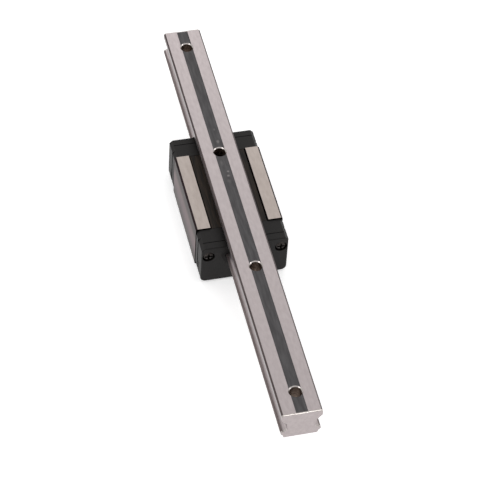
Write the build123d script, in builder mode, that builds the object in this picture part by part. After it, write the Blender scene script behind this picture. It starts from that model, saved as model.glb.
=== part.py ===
from build123d import *
import math
import os

# Linear guide rail with carriage, size 15, lying upside down on the carriage's mounting face.
# X is across the rail, Y along it, Z up. z = 0 is the carriage's mounting face and
# z = assembly_height the rail's. The origin is midway along the rail and across it.

# Driving dimensions in millimetres.
# Rail
assembly_height = 24.0
rail_length = 200.0
rail_width = 15.0
rail_height = 12.5
hole_pitch = 60.0
least_end_margin = 6.0
screw_hole_diameter = 4.5
counterbore_diameter = 7.5
counterbore_depth = 5.3
hole_rim_chamfer = 0.35
base_side_height = 2.3
base_edge_chamfer = 0.6
end_chamfer = 0.5
relief_width = 4.4
relief_depth = 0.12
flank_height = 2.7
waist_inset = 2.2
waist_depth = 4.4
nose_depth = 2.5
nose_land = 0.2
head_inset = 1.1

# Balls and their circuits. Depths are from the rail's head face, which lies down here,
# so the upper rows, as the guide is mounted, are the ones with the lower z.
ball_diameter = 3.175
groove_gap = 0.11
upper_row_reach = 0.56
upper_row_depth = 0.43
lower_row_inset = 0.75
lower_row_depth = 4.95
lower_return_run = 4.0625
return_gap = 0.15
return_wall = 0.3
circuit_wall = 1.7

# Carriage block
carriage_rest = 15.0
block_length = 38.7
block_side_step = 0.1
underside_gap = 4.5
block_edge_chamfer = 0.7
mounting_edge_chamfer = 0.5
leg_gap = 0.8
lip_cover = 0.16
lip_inset = 0.95
strip_inner = 11.3
tapped_side_distance = 4.0
tapped_spacing_y = 26.0
tapped_depth = 6.0
tapped_floor = 1.7
tapped_hole_diameter = 3.3

# Retainers and bottom seals
retainer_gap = 0.3
upper_retainer_thickness = 1.4
side_retainer_thickness = 0.45
seal_edge_gap = 0.35
underside_step = 0.55

# End caps
cap_thickness = 6.8
cap_side_distance = 2.8
cap_floor_gap = 0.7
cap_corner_radius = 2.0
cap_edge_chamfer = 1.2
cap_rail_gap = 0.6
guide_flange = 0.7
guide_width = 2.8
channel_sides = 8
turn_runs = 6
oil_groove_width = 1.2
oil_groove_depth = 0.9
port_diameter = 3.3
port_depth = 5.0
port_drill_diameter = 1.2
plug_length = 4.0
plug_diameter = 3.2
plug_socket = 1.5
plug_socket_depth = 1.8

# End seal frames and lips
seal_thickness = 3.2
wing_length = 2.9
wing_thickness = 1.0
front_chamfer = 0.3
lug_height = 4.8
lug_rise = 2.8
lug_length = 1.2
lug_setback = 0.9
lug_proud = 0.05
lug_gap = 0.1
lip_gap = 0.2
lip_band = 1.5
lip_depth = 1.4
ledge_gap = 0.9
nipple_opening_diameter = 5.2

# End screws
end_screw_diameter = 2.5
end_screw_lift = 0.15
end_screw_grip = 5.5
end_screw_end_gap = 0.6
end_screw_head_diameter = 4.3
end_screw_head_height = 1.3
end_screw_seat_diameter = 4.8
end_screw_seat_depth = 1.5
end_screw_hole_diameter = 2.8
end_screw_thread_gap = 0.04
cross_span = 2.6
cross_width = 0.6
cross_depth = 0.8

# Worked out from the driving dimensions: the rail
ball_radius = ball_diameter / 2
groove_radius = ball_radius + groove_gap
return_radius = ball_radius + return_gap
rail_half = rail_width / 2
head_z = assembly_height - rail_height
flank_z = assembly_height - base_side_height
waist_half = rail_half - waist_inset
waist_top_z = flank_z - flank_height
waist_low_z = head_z + waist_depth
hole_count = int((rail_length - 2 * least_end_margin) // hole_pitch) + 1

# The carriage, from the rail outwards
upper_row = (rail_half + upper_row_reach, head_z + upper_row_depth)
lower_row = (rail_half - lower_row_inset, head_z + lower_row_depth)
rows = (upper_row, lower_row)
upper_return_z = tapped_depth + tapped_floor + return_radius
lower_return = (lower_row[0] + lower_return_run, upper_return_z + 2 * return_radius + circuit_wall)
end_screw_x = lower_return[0] + return_radius + return_wall + end_screw_diameter / 2
cap_half = end_screw_x + cap_side_distance
block_half = cap_half + block_side_step
tapped_x = block_half - tapped_side_distance
upper_return = (tapped_x, upper_return_z)
circuits = {"upper": (upper_row, upper_return), "lower": (lower_row, lower_return)}

underside_z = assembly_height - underside_gap
leg_inner = rail_half + leg_gap
lip_z = lower_row[1] + groove_radius + lip_cover
lip_tip = lower_row[0] + lip_inset
ceiling_z = head_z - retainer_gap - upper_retainer_thickness
retainer_half = upper_row[0] - groove_radius / 2

cap_top = underside_z - underside_step
port_height = (cap_floor_gap + head_z) / 2
oil_groove_x = (upper_row[0] + upper_return[0]) / 2
oil_groove_middle = ((upper_row[1] + upper_return[1]) / 2 + port_height) / 2
end_screw_z = (upper_return[1] + cap_top) / 2 + end_screw_lift
screw_places = [(-end_screw_x, end_screw_z), (end_screw_x, end_screw_z)]

near_enough = 0.001
ends = {"near": -1, "far": 1}
sides = {"left": -1, "right": 1}

os.makedirs("parts", exist_ok=True)


def finish(piece, name):
    """Label a finished piece and write its file."""
    piece.label = name
    export_step(piece, f"parts/{name}.step")


def rims_at(builder, height):
    """The round edges that lie in the level plane at a height."""
    return builder.edges().filter_by(GeomType.CIRCLE).filter_by_position(
        Axis.Z, height - near_enough, height + near_enough
    )


def end_plane(end, distance):
    """The plane across the rail, a distance out from the block's end face. Local x, y are X, Z."""
    return Plane.XZ.offset(-(carriage_rest + end * (block_length / 2 + distance)))


def rail_outline(gap=0.0):
    """The rail's cross section as drawn, grown by a gap and without its ball grooves."""
    with BuildSketch() as outline:
        with BuildLine():
            Polyline(
                (0, assembly_height),
                (rail_half - base_edge_chamfer, assembly_height),
                (rail_half, assembly_height - base_edge_chamfer),
                (rail_half, flank_z),
                (waist_half, waist_top_z),
                (waist_half, waist_low_z),
                (rail_half, head_z + nose_depth + nose_land),
                (rail_half, head_z + nose_depth),
                (rail_half - head_inset, head_z),
                (0, head_z),
            )
            mirror(about=Plane.YZ)
        make_face()
        if gap > 0:
            offset(amount=gap, kind=Kind.INTERSECTION)
    return outline.sketch


def rail_section(gap=0.0):
    """The rail's outline with its four ball grooves ground in, all grown by a gap."""
    with BuildSketch() as section:
        add(rail_outline(gap))
        with Locations(*[(side * row[0], row[1]) for row in rows for side in sides.values()]):
            Circle(groove_radius - gap, mode=Mode.SUBTRACT)
    return section.sketch


def cap_section():
    """Outline of the black ends: rounded at the mounting side, bevelled at the underside."""
    with BuildSketch() as section:
        height = cap_top - cap_floor_gap
        with Locations((0, cap_floor_gap + height / 2)):
            Rectangle(2 * cap_half, height)
        low = section.vertices().group_by(Axis.Y)[0]
        fillet(low, cap_corner_radius)
        high = section.vertices().group_by(Axis.Y)[-1]
        chamfer(high, cap_edge_chamfer)
    return section.sketch


def half_turn(row, back, side):
    """Middle, radius and axis of the half circle that joins a loaded row to its return hole."""
    start = Vector(side * row[0], 0, row[1])
    stop = Vector(side * back[0], 0, back[1])
    across = stop - start
    return (start + stop) / 2, across.length / 2, across.cross(Vector(0, 1, 0)).normalized()


def turn_place(row, back, side, end):
    """Where a half turn leaves an end face of the block: local X is across it, local Y outwards."""
    middle, turn_radius, turn_axis = half_turn(row, back, side)
    centre = middle + Vector(0, carriage_rest + end * block_length / 2, 0)
    across = Vector(0, end, 0).cross(turn_axis)
    return Location(Plane(centre, x_dir=across, z_dir=turn_axis))


def turning_channel(turn_radius):
    """The tool that cuts a half turn: an eight-sided section swept round in short straight runs."""
    corner_radius = turn_radius / math.cos(math.pi / turn_runs / 2)
    angles = [math.pi * (index + 0.5) / turn_runs for index in range(turn_runs)]
    corners = [(corner_radius * math.cos(angle), corner_radius * math.sin(angle)) for angle in angles]
    with BuildPart() as channel:
        with BuildLine():
            Polyline((turn_radius, 0), *corners, (-turn_radius, 0))
        with BuildSketch(Plane((turn_radius, 0, 0), z_dir=(0, 1, 0))):
            RegularPolygon(return_radius, channel_sides, major_radius=False)
        sweep(transition=Transition.RIGHT)
    return channel.part


turn_radii = {name: half_turn(row, back, 1)[1] for name, (row, back) in circuits.items()}
channels = {name: turning_channel(turn_radius) for name, turn_radius in turn_radii.items()}

# Rail: drawn section, ground grooves, counterbored screw holes and the relief in its mounting face
with BuildPart() as rail:
    with BuildSketch(Plane.XZ.offset(-rail_length / 2)):
        add(rail_section())
    extrude(amount=rail_length)
    end_faces = rail.faces().filter_by(Axis.Y)
    base_edges = [edge for edge in end_faces.edges() if edge.center().Z > waist_top_z]
    chamfer(base_edges, end_chamfer)
    with BuildSketch(Plane.XY.offset(assembly_height)):
        Rectangle(relief_width, rail_length)
    extrude(amount=-relief_depth, mode=Mode.SUBTRACT)
    with Locations(Plane.XY.offset(head_z).rotated((180, 0, 0))):
        with GridLocations(hole_pitch, hole_pitch, 1, hole_count):
            CounterBoreHole(screw_hole_diameter / 2, counterbore_diameter / 2, counterbore_depth)
    chamfer(rims_at(rail, assembly_height - relief_depth), hole_rim_chamfer)
finish(rail.part, "rail")

# Carriage block: two legs and a bridge, with raceways, return holes and tapped holes
with BuildPart() as carriage_block:
    with BuildSketch(end_plane(1, 0)) as block_section:
        with BuildLine():
            Polyline(
                (0, 0),
                (block_half - mounting_edge_chamfer, 0),
                (block_half, mounting_edge_chamfer),
                (block_half, underside_z - block_edge_chamfer),
                (block_half - block_edge_chamfer, underside_z),
                (strip_inner, underside_z),
                (strip_inner, lip_z),
                (lip_tip, lip_z),
                (lip_tip, lower_row[1]),
                (leg_inner, lower_row[1]),
                (leg_inner, upper_row[1]),
                (retainer_half, upper_row[1]),
                (retainer_half, ceiling_z),
                (0, ceiling_z),
            )
            mirror(about=Plane.YZ)
        make_face()
        for row, back in circuits.values():
            for side in sides.values():
                with Locations((side * row[0], row[1])):
                    Circle(groove_radius, mode=Mode.SUBTRACT)
                with Locations((side * back[0], back[1])):
                    Circle(return_radius, mode=Mode.SUBTRACT)
    extrude(amount=block_length)
    with Locations(Plane.XY.rotated((180, 0, 0))):
        with Locations((0, -carriage_rest)):
            with GridLocations(2 * tapped_x, tapped_spacing_y, 2, 2):
                Hole(tapped_hole_diameter / 2, tapped_depth)
    for end in ends.values():
        with BuildSketch(end_plane(end, 0)):
            with Locations(*screw_places):
                Circle(end_screw_diameter / 2 + end_screw_thread_gap)
        extrude(amount=end * end_screw_grip, mode=Mode.SUBTRACT)
finish(carriage_block.part, "carriage_block")

# Upper retainer: the plate over the rail's head that keeps the two upper rows in
with BuildPart() as upper_retainer:
    with BuildSketch(end_plane(1, 0)):
        with Locations((0, ceiling_z + upper_retainer_thickness / 2)):
            Rectangle(2 * retainer_half, upper_retainer_thickness)
        with Locations(upper_row, (-upper_row[0], upper_row[1])):
            Circle(groove_radius, mode=Mode.SUBTRACT)
    extrude(amount=block_length)
finish(upper_retainer.part, "upper_retainer")

# Strips that run along each leg
for side_name, side in sides.items():
    with BuildPart() as side_retainer:
        strip_x = leg_inner - side_retainer_thickness / 2
        with BuildSketch(end_plane(1, 0)):
            with Locations((side * strip_x, (upper_row[1] + lower_row[1]) / 2)):
                Rectangle(side_retainer_thickness, lower_row[1] - upper_row[1])
            with Locations(*[(side * row[0], row[1]) for row, back in circuits.values()]):
                Circle(groove_radius, mode=Mode.SUBTRACT)
        extrude(amount=block_length)
    finish(side_retainer.part, f"side_retainer_{side_name}")

    # The bottom seal closes the gap between a leg and the rail's flank
    with BuildPart() as bottom_seal:
        flank_run = (rail_half - waist_half) / (flank_z - waist_top_z)
        low_edge = waist_half + max(lip_z - waist_top_z, 0) * flank_run + seal_edge_gap
        high_edge = waist_half + max(cap_top - waist_top_z, 0) * flank_run + seal_edge_gap
        with BuildSketch(end_plane(1, 0)):
            with BuildLine():
                Polyline(
                    (side * low_edge, lip_z),
                    (side * strip_inner, lip_z),
                    (side * strip_inner, cap_top),
                    (side * high_edge, cap_top),
                    close=True,
                )
            make_face()
        extrude(amount=block_length)
    finish(bottom_seal.part, f"bottom_seal_{side_name}")

# End caps, with the turning channels, the pockets of the return guides and the oil grooves
for end_name, end in ends.items():
    with BuildPart() as end_cap:
        with BuildSketch(end_plane(end, 0)):
            add(cap_section())
            add(rail_section(cap_rail_gap), mode=Mode.SUBTRACT)
            with Locations(*screw_places):
                Circle(end_screw_hole_diameter / 2, mode=Mode.SUBTRACT)
        extrude(amount=-end * cap_thickness)
        # Room at both sides for the wings of the end seal frame
        with BuildSketch(end_plane(end, cap_thickness)):
            with Locations((-cap_half, 0), (cap_half, 0)):
                Rectangle(2 * wing_thickness, 2 * assembly_height)
        extrude(amount=end * wing_length, mode=Mode.SUBTRACT)
        # A bar across the cap, whose ends stand out as lugs that snap into the wings
        with BuildSketch(end_plane(end, cap_thickness - wing_length + lug_setback)):
            with Locations((0, lug_rise + lug_height / 2)):
                Rectangle(2 * (cap_half + lug_proud), lug_height)
        extrude(amount=-end * lug_length)
        # Grease port, its drilling and the oil grooves to both sides
        with BuildSketch(end_plane(end, cap_thickness)):
            with Locations((0, port_height)):
                Circle(port_diameter / 2)
        extrude(amount=end * port_depth, mode=Mode.SUBTRACT)
        with BuildSketch(end_plane(end, 0)):
            with Locations((0, port_height)):
                Circle(port_drill_diameter / 2)
        extrude(amount=-end * (cap_thickness - port_depth), mode=Mode.SUBTRACT)
        with BuildSketch(end_plane(end, 0)):
            with Locations((0, port_height)):
                Rectangle(2 * oil_groove_x + oil_groove_width, oil_groove_width)
            with Locations((-oil_groove_x, oil_groove_middle), (oil_groove_x, oil_groove_middle)):
                Rectangle(oil_groove_width, 2 * (oil_groove_middle - port_height) + oil_groove_width)
        extrude(amount=-end * oil_groove_depth, mode=Mode.SUBTRACT)
        # Turning channels with the pockets that hold the return guides
        for row_name, (row, back) in circuits.items():
            for side in sides.values():
                with Locations(turn_place(row, back, side, end)):
                    add(channels[row_name], mode=Mode.SUBTRACT)
                    Cylinder(turn_radii[row_name] - guide_flange, guide_width, mode=Mode.SUBTRACT)
    finish(end_cap.part, f"end_cap_{end_name}")

    # Return guides: half spools that the balls turn about, one to each circuit
    for side_name, side in sides.items():
        with BuildPart() as return_guide:
            for row_name, (row, back) in circuits.items():
                with Locations(turn_place(row, back, side, end)):
                    Cylinder(turn_radii[row_name] - guide_flange, guide_width)
            for row_name, (row, back) in circuits.items():
                with Locations(turn_place(row, back, side, end)):
                    add(channels[row_name], mode=Mode.SUBTRACT)
            split(bisect_by=end_plane(end, 0), keep=Keep.TOP if end < 0 else Keep.BOTTOM)
            with BuildSketch(end_plane(end, 0)):
                add(rail_section(cap_rail_gap))
            extrude(amount=-end * cap_thickness, mode=Mode.SUBTRACT)
        finish(return_guide.part, f"return_guide_{end_name}_{side_name}")

    # End seal frame: the outer plate, whose wings reach back over the cap to its lugs
    with BuildPart() as end_seal_frame:
        with BuildSketch(end_plane(end, cap_thickness - wing_length)):
            add(cap_section())
        extrude(amount=-end * (wing_length + seal_thickness))
        front = end_seal_frame.faces().filter_by(Axis.Y).sort_by(Axis.Y)[0 if end < 0 else -1]
        chamfer(front.edges(), front_chamfer)
        with BuildSketch(end_plane(end, cap_thickness - wing_length)):
            Rectangle(2 * (cap_half - wing_thickness), 2 * assembly_height)
        extrude(amount=-end * wing_length, mode=Mode.SUBTRACT)
        with BuildSketch(end_plane(end, cap_thickness - wing_length)):
            add(rail_outline(ledge_gap))
        extrude(amount=-end * (wing_length + seal_thickness), mode=Mode.SUBTRACT)
        with BuildSketch(end_plane(end, cap_thickness + seal_thickness)):
            add(rail_outline(lip_gap + lip_band))
        extrude(amount=end * lip_depth, mode=Mode.SUBTRACT)
        with BuildSketch(end_plane(end, cap_thickness)):
            with Locations(*screw_places):
                Circle(end_screw_hole_diameter / 2)
            with Locations((0, port_height)):
                Circle(nipple_opening_diameter / 2)
        extrude(amount=-end * seal_thickness, mode=Mode.SUBTRACT)
        with BuildSketch(end_plane(end, cap_thickness + seal_thickness)):
            with Locations(*screw_places):
                Circle(end_screw_seat_diameter / 2)
        extrude(amount=end * end_screw_seat_depth, mode=Mode.SUBTRACT)
        with BuildSketch(end_plane(end, cap_thickness - wing_length + lug_setback - lug_gap)):
            with Locations((0, lug_rise + lug_height / 2)):
                Rectangle(2 * block_half, lug_height + 2 * lug_gap)
        extrude(amount=-end * (lug_length + 2 * lug_gap), mode=Mode.SUBTRACT)
    finish(end_seal_frame.part, f"end_seal_frame_{end_name}")

    # End seal lip: a rubber band in the frame's front, shaped to the rail and its grooves
    with BuildPart() as end_seal_lip:
        with BuildSketch(end_plane(end, cap_thickness + seal_thickness)):
            add(rail_outline(lip_gap + lip_band))
            add(rail_section(lip_gap), mode=Mode.SUBTRACT)
        extrude(amount=end * lip_depth)
        split(bisect_by=Plane.XY.offset(cap_top), keep=Keep.BOTTOM)
    finish(end_seal_lip.part, f"end_seal_lip_{end_name}")

    # End screws, through frame and cap into the block
    head_seat = cap_thickness + seal_thickness - end_screw_seat_depth
    for side_name, side in sides.items():
        with BuildPart() as end_screw:
            with BuildSketch(end_plane(end, head_seat)):
                with Locations((side * end_screw_x, end_screw_z)):
                    Circle(end_screw_head_diameter / 2)
            extrude(amount=-end * end_screw_head_height)
            with BuildSketch(end_plane(end, head_seat + end_screw_head_height)):
                with Locations((side * end_screw_x, end_screw_z)):
                    Rectangle(cross_span, cross_width)
                    Rectangle(cross_width, cross_span)
            extrude(amount=end * cross_depth, mode=Mode.SUBTRACT)
            with BuildSketch(end_plane(end, head_seat)):
                with Locations((side * end_screw_x, end_screw_z)):
                    Circle(end_screw_diameter / 2)
            extrude(amount=end * (head_seat + end_screw_grip - end_screw_end_gap))
        finish(end_screw.part, f"end_screw_{end_name}_{side_name}")

# Lubrication plug: the grub screw that closes the far cap's grease port
with BuildPart() as lubrication_plug:
    with BuildSketch(end_plane(1, cap_thickness)):
        with Locations((0, port_height)):
            Circle(plug_diameter / 2)
    extrude(amount=plug_length)
    with BuildSketch(end_plane(1, cap_thickness)):
        with Locations((0, port_height)):
            RegularPolygon(plug_socket / 2, 6, major_radius=False)
    extrude(amount=plug_socket_depth, mode=Mode.SUBTRACT)
finish(lubrication_plug.part, "lubrication_plug")

# Balls: a cube with its corners cut back to the middles of its edges keeps each one light.
# Its own corners lie on the real ball's sphere.
cube_side = ball_radius * math.sqrt(2)
with BuildPart() as ball:
    Box(cube_side, cube_side, cube_side)
    for corner in ball.vertices():
        outwards = Vector(corner.X, corner.Y, corner.Z)
        split(bisect_by=Plane(outwards * 2 / 3, z_dir=outwards), keep=Keep.BOTTOM)


def circuit_places(row, back, side):
    """Places of the balls round one circuit, evenly spaced along its two runs and two half turns."""
    middle, turn_radius, turn_axis = half_turn(row, back, side)
    outward = (Vector(side * back[0], 0, back[1]) - middle).normalized()
    turn = math.pi * turn_radius
    loop = 2 * block_length + 2 * turn
    count = int(loop // ball_diameter)
    places = []
    for index in range(count):
        run = index * loop / count
        leg, along = divmod(run, block_length + turn)
        way = 1 if leg == 0 else -1
        if along < block_length:
            across, y, angle = -way * turn_radius, way * (along - block_length / 2), 0
        else:
            angle = math.pi * (along - block_length) / turn
            across = -way * turn_radius * math.cos(angle)
            y = way * (block_length / 2 + turn_radius * math.sin(angle))
        centre = middle + outward * across + Vector(0, carriage_rest + y, 0)
        heading = outward * math.sin(angle) * way + Vector(0, math.cos(angle) * way, 0)
        places.append(Location(Plane(centre, x_dir=heading, z_dir=turn_axis)))
    return places


for row_name, (row, back) in circuits.items():
    for side_name, side in sides.items():
        with BuildPart() as balls:
            with Locations(*circuit_places(row, back, side)):
                add(ball.part)
        finish(balls.part, f"balls_{row_name}_{side_name}")
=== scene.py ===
# %% [markdown]
# # A linear guide on a studio table
# The object is a profiled ball guide: a ground steel rail lying on its back, and the low carriage
# that slides along it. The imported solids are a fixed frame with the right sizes, and this script
# dresses them for the eye. Everything is in metres, in the solids' own frame: X across the rail,
# Y along it and Z up. z = 0 is the face that the carriage stands on.

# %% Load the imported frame
import math

import bmesh
import bpy
from mathutils import Matrix, Vector


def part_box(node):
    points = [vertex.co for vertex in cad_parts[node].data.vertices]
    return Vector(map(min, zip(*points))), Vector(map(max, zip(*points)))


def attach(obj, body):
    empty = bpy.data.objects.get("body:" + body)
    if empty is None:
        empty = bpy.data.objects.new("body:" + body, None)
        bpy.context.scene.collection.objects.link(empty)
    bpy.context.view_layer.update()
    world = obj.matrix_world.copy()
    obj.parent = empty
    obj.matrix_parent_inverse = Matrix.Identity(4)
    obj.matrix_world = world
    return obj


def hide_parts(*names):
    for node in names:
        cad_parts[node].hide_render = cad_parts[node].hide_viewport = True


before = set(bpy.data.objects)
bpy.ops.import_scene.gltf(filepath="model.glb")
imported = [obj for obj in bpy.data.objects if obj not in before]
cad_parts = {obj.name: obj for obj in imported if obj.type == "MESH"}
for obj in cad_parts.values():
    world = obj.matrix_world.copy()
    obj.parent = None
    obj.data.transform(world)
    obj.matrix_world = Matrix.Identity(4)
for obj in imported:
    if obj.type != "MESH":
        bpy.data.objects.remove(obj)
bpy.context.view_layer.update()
MM = 0.001  # every size below is written in millimetres and turned to metres with this
scene = bpy.context.scene

# %% [markdown]
# ## Camera
# The photograph was taken from in front, to the left and well above. The view could be matched by
# eye, but a long lens hides small errors in the turn. A pinhole camera fitted to the corners of
# rail and carriage and to the screw holes gives place, direction and lens together.

# %% Camera from the fitted view
CAMERA_PLACE = Vector((-155.1, -542.8, 634.7)) * MM
CAMERA_FORWARD = Vector((0.1855, 0.6415, -0.7443)).normalized()
CAMERA_RIGHT = Vector((0.9723, -0.2293, 0.0447))
FOCAL_PIXELS = 2188.8  # the fitted focal length, in pixels of the photograph
PHOTO_PIXELS = 480
SENSOR = 36.0
CAMERA_REACH = 10.0    # metres, past the table's far edge

right = (CAMERA_RIGHT - CAMERA_FORWARD * CAMERA_RIGHT.dot(CAMERA_FORWARD)).normalized()
upwards = right.cross(CAMERA_FORWARD)
camera_data = bpy.data.cameras.new("photo camera")
camera_data.sensor_width = SENSOR
camera_data.lens = SENSOR * FOCAL_PIXELS / PHOTO_PIXELS
camera_data.clip_end = CAMERA_REACH
camera = bpy.data.objects.new("photo camera", camera_data)
scene.collection.objects.link(camera)
camera_turn = Matrix((right, upwards, -CAMERA_FORWARD)).transposed()
camera.matrix_world = Matrix.Translation(CAMERA_PLACE) @ camera_turn.to_4x4()
scene.camera = camera
scene.view_settings.view_transform = "Standard"
print("lens", round(camera_data.lens, 1), "mm")


# %% [markdown]
# ## Helpers
# Finishes and Geometry Nodes are both trees of nodes. Two small functions serve every tree below:
# one turns a hex colour into linear light, and one adds a node with its settings and its links. A
# tree then reads as a list of its parts. The nodes used most have short names.

# %% Colour and node helpers
MATH, POINT, MOVE = "ShaderNodeMath", "ShaderNodeCombineXYZ", "GeometryNodeTransform"
PLUS, MINUS, TIMES = ({"operation": name} for name in ("ADD", "SUBTRACT", "MULTIPLY"))


def linear(hex_colour):
    """A colour written in sRGB hex, as the linear values that shaders work in."""
    channels = [int(hex_colour[i : i + 2], 16) / 255 for i in (1, 3, 5)]
    return [c / 12.92 if c <= 0.04045 else ((c + 0.055) / 1.055) ** 2.4 for c in channels] + [1.0]


def node(tree, kind, settings=None, **inputs):
    """Add a node. Its inputs are given by name, with _ for a space, or by number, as _0.

    A socket, or each in a list, is linked. A node stands for its first output. The rest is set.
    """
    made = tree.nodes.new(kind)
    for key, value in (settings or {}).items():
        setattr(made, key, value)
    for key, value in inputs.items():
        socket = made.inputs[int(key[1:]) if key[1:].isdigit() else key.replace("_", " ")]
        wires = value if isinstance(value, list) else [value]
        wires = [w.outputs[0] if isinstance(w, bpy.types.Node) else w for w in wires]
        if isinstance(wires[0], bpy.types.NodeSocket):
            for wire in wires:
                tree.links.new(wire, socket)
        else:
            socket.default_value = value
    return made


# %% [markdown]
# ## Steel finishes
# The rail is hardened bearing steel. Its mounting face, sides and ball grooves are ground along its
# length, which leaves fine lines and a soft sheen. What the wheel doesn't reach keeps the darker
# skin of the drawn bar. A photo texture would show this from one side only. Noise stretched along Y
# on Object coordinates gives lines that run true on every face.

# %% Patterns in real millimetres
TONE_LOW, TONE_HIGH = 0.35, 0.65  # noise seldom leaves this band


def empty_finish(name, **sockets):
    """A material with a Principled shader, ready for its pattern."""
    material = bpy.data.materials.new(name)
    material.use_nodes = True
    shader = material.node_tree.nodes["Principled BSDF"]
    for key, value in sockets.items():
        shader.inputs[key.replace("_", " ")].default_value = value
    return material, material.node_tree, shader


def stretched_noise(tree, grain_mm, detail):
    """Noise on Object coordinates whose grains measure grain_mm along X, Y and Z."""
    place = node(tree, "ShaderNodeTexCoord")
    scale = [1 / (size * MM) for size in grain_mm]
    sized = node(tree, "ShaderNodeMapping", Vector=place.outputs["Object"], Scale=scale)
    return node(tree, "ShaderNodeTexNoise", Vector=sized, Scale=1.0, Detail=detail)


def two_tones(tree, pattern, dark, light):
    """A ramp between two colours, driven by a pattern."""
    ramp = node(tree, "ShaderNodeValToRGB", Fac=pattern)
    stops = ramp.color_ramp.elements
    for stop, position, colour in zip(stops, (TONE_LOW, TONE_HIGH), (dark, light)):
        stop.position = position
        stop.color = linear(colour)
    return ramp


def colour_and_relief(tree, shader, ramp, pattern, strength, depth_mm):
    """Colour the shader from a ramp, and let a pattern raise the surface by up to depth_mm."""
    bump = node(tree, "ShaderNodeBump", Height=pattern, Strength=strength, Distance=depth_mm * MM)
    tree.links.new(ramp.outputs["Color"], shader.inputs["Base Color"])
    tree.links.new(bump.outputs["Normal"], shader.inputs["Normal"])


# %% Ground steel: a satin face with lengthwise lines and a faint mottle
GRIND_LINE = (0.5, 60.0, 0.5)    # real lines are 0.02 mm wide: drawn wider, to show
GRIND_HEIGHT = 0.02              # real lines are far shallower: drawn deeper, to show
GRIND_BUMP = 0.04
GRIND_DETAIL = 3.0
MOTTLE = (1.0, 3.0, 1.0)         # the faint, longish clouds that the wheel leaves
MOTTLE_DETAIL = 6.0
LINE_LOW, LINE_HIGH = 0.3, 0.7   # noise between two lines, and on one
SMOOTHER, ROUGHER = -0.05, 0.08  # what is added to the roughness there


def ground_steel(name, dark, light, roughness):
    """Steel whose lengthwise lines change its gloss and height, and a mottle its tone."""
    material, tree, shader = empty_finish(name, Metallic=1.0, Roughness=roughness)
    mottle = stretched_noise(tree, MOTTLE, MOTTLE_DETAIL)
    lines = stretched_noise(tree, GRIND_LINE, GRIND_DETAIL)
    sheen = node(tree, "ShaderNodeMapRange", Value=lines, From_Min=LINE_LOW, From_Max=LINE_HIGH,
                 To_Min=roughness + SMOOTHER, To_Max=roughness + ROUGHER)
    tree.links.new(sheen.outputs["Result"], shader.inputs["Roughness"])
    colour_and_relief(tree, shader, two_tones(tree, mottle, dark, light), lines, GRIND_BUMP,
                      GRIND_HEIGHT)
    return material


# Surface grinding: pale, slightly pink satin whose sheen runs along the bar
rail_ground = ground_steel("ground bearing steel", "#A49B9B", "#ACA3A3", 0.34)
# The rail's narrow sides: the same ground steel, a tone darker than the top: painted shade, for the
# dimmer surround that they mirror
rail_side = ground_steel("ground steel at the sides", "#8E8686", "#969090", 0.36)
# The same on the carriage's strips, a little warmer and duller
block_ground = ground_steel("ground carriage steel", "#9F958F", "#A79D97", 0.38)
print("ground finishes", [finish.name for finish in (rail_ground, rail_side, block_ground)])


# %% [markdown]
# ## The carriage's milled sides
# The block's sides are milled, not ground. Their tone is painted darker than the top, in level bands
# that run the whole length: painted shade and painted reflection of a dim surround, darker towards
# the table and nearly black by the strips. Thin faces could carry the bands, but the real side has no
# steps. The finish reads its height from Object coordinates and looks the tone up in a ramp, with a
# little wander along the block.

# %% Side steel: level bands of painted shade and reflection, by height
SIDE_HEIGHT = 24.0  # mm above the mounting face at the top of the ramp
BAND_WANDER = 0.05  # how far a band strays up and down, as a share of that height
MILLED_BUMP = 0.2
# The tones by height are painted shade and painted reflection: darker towards the table, nearly black
# by the strips
SIDE_SHADE_BANDS = (    # height in mm above the mounting face, and the tone there
    (2.0, "#4A4341"), (4.5, "#4D4444"), (7.5, "#67575A"),
    (12.0, "#6A5959"), (15.0, "#352A28"), (18.0, "#302523"),
)


def banded_steel(name, bands, roughness):
    """Steel whose tone depends on the height, as bands gives it."""
    material, tree, shader = empty_finish(name, Metallic=1.0, Roughness=roughness)
    place = node(tree, "ShaderNodeTexCoord")
    height = node(tree, "ShaderNodeSeparateXYZ", Vector=place.outputs["Object"])
    lines = stretched_noise(tree, GRIND_LINE, GRIND_DETAIL)
    wander = node(tree, "ShaderNodeMapRange", Value=lines, To_Min=-BAND_WANDER, To_Max=BAND_WANDER)
    share = node(tree, MATH, {"operation": "MULTIPLY_ADD"}, _0=height.outputs["Z"],
                 _1=1 / (SIDE_HEIGHT * MM), _2=wander)
    ramp = node(tree, "ShaderNodeValToRGB", Fac=share)
    stops = ramp.color_ramp.elements
    while len(stops) < len(bands):
        stops.new(0.5)
    for stop, (height_mm, colour) in zip(stops, bands):
        stop.position = height_mm / SIDE_HEIGHT
        stop.color = linear(colour)
    colour_and_relief(tree, shader, ramp, lines, MILLED_BUMP, GRIND_HEIGHT)
    return material


# Milled sides: greyer than grinding, and painted darker as painted shade, darkest towards the ground
# strips
block_side = banded_steel("carriage side steel with painted shade", SIDE_SHADE_BANDS, 0.45)
print("side bands of painted shade", len(SIDE_SHADE_BANDS))


# %% [markdown]
# ## Drawn, drilled and blackened steel
# The rest of the steel was drawn, drilled, cut, rolled, lapped or blackened. Each leaves patches of
# its own, long ones along the bar where it was drawn or rolled. Every one could have its own tree,
# but only the tones, the gloss and the size of a patch differ, so one function makes them all.

# %% Plain steel in two tones
STEEL_DEPTH = 0.02
STEEL_BUMP = 0.2
STEEL_DETAIL = 3.0


def plain_steel(name, dark, light, roughness, patch_mm, metallic=1.0):
    """Steel in two tones, in patches that measure patch_mm along X, Y and Z."""
    material, tree, shader = empty_finish(name, Metallic=metallic, Roughness=roughness)
    patches = stretched_noise(tree, patch_mm, STEEL_DETAIL)
    colour_and_relief(tree, shader, two_tones(tree, patches, dark, light), patches, STEEL_BUMP,
                      STEEL_DEPTH)
    return material


DRAWN_PATCH = (1.0, 12.0, 1.0)
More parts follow.
